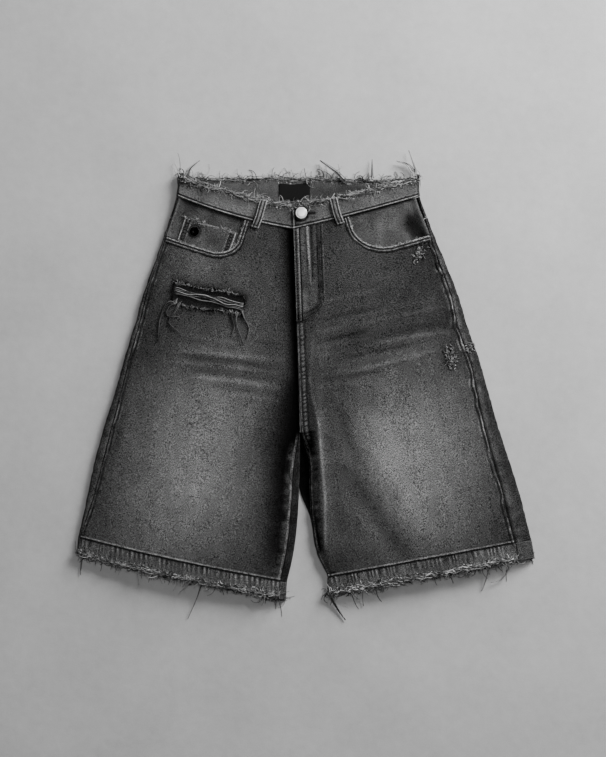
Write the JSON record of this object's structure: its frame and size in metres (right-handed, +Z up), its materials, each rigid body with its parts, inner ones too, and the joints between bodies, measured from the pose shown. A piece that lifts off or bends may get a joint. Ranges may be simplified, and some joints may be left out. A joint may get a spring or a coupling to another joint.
{
  "type": "denim shorts",
  "caption": "Wide knee-length denim shorts with raw frayed waist and hems, laid flat front side up, fly buttoned, thigh ripped.",
  "frame": {"origin": "on the surface the shorts lie on, below the middle of their laid outline, frayed threads included", "axes": "+Z up from the surface, through the front; +Y towards the waist; +X to the right as seen from above"},
  "size_m": [0.6902, 0.7048, 0.0266],
  "materials": {
    "denim": "washed black denim twill, faded on the thighs",
    "waistband": "washed black denim, double",
    "hem": "puckered denim, unwashed in the folds",
    "fray": "loose grey cotton threads",
    "label": "black woven label, bare",
    "button": "polished shank button",
    "stud": "blackened metal, satin"
  },
  "bodies": {
    "root": {"front_panel_left": "denim", "front_panel_right": "denim", "back_panel_left": "denim", "back_panel_right": "denim", "yoke_left": "denim", "yoke_right": "denim", "waistband_front_left": "waistband", "waistband_front_right": "waistband", "waistband_back": "waistband", "waist_label": "label", "pocket_facing_left": "denim", "pocket_facing_right": "denim", "coin_pocket": "denim", "coin_pocket_stud": "stud", "button": "button", "fly": "denim", "belt_loop_front_left": "waistband", "belt_loop_front_right": "waistband", "belt_loop_back_left": "waistband", "belt_loop_back_centre": "waistband", "belt_loop_back_right": "waistband", "hem_front_left": "hem", "hem_front_right": "hem", "hem_back_left": "hem", "hem_back_right": "hem", "fringe_waist_front_left": "fray", "fringe_waist_front_right": "fray", "fringe_waist_back": "fray", "fringe_hem_front_left": "fray", "fringe_hem_front_right": "fray", "fringe_hem_back_left": "fray", "fringe_hem_back_right": "fray", "fringe_rip": "fray", "tuft_thigh": "fray", "tuft_side_seam": "fray", "tuft_pocket": "fray"}
  },
  "joints": []
}
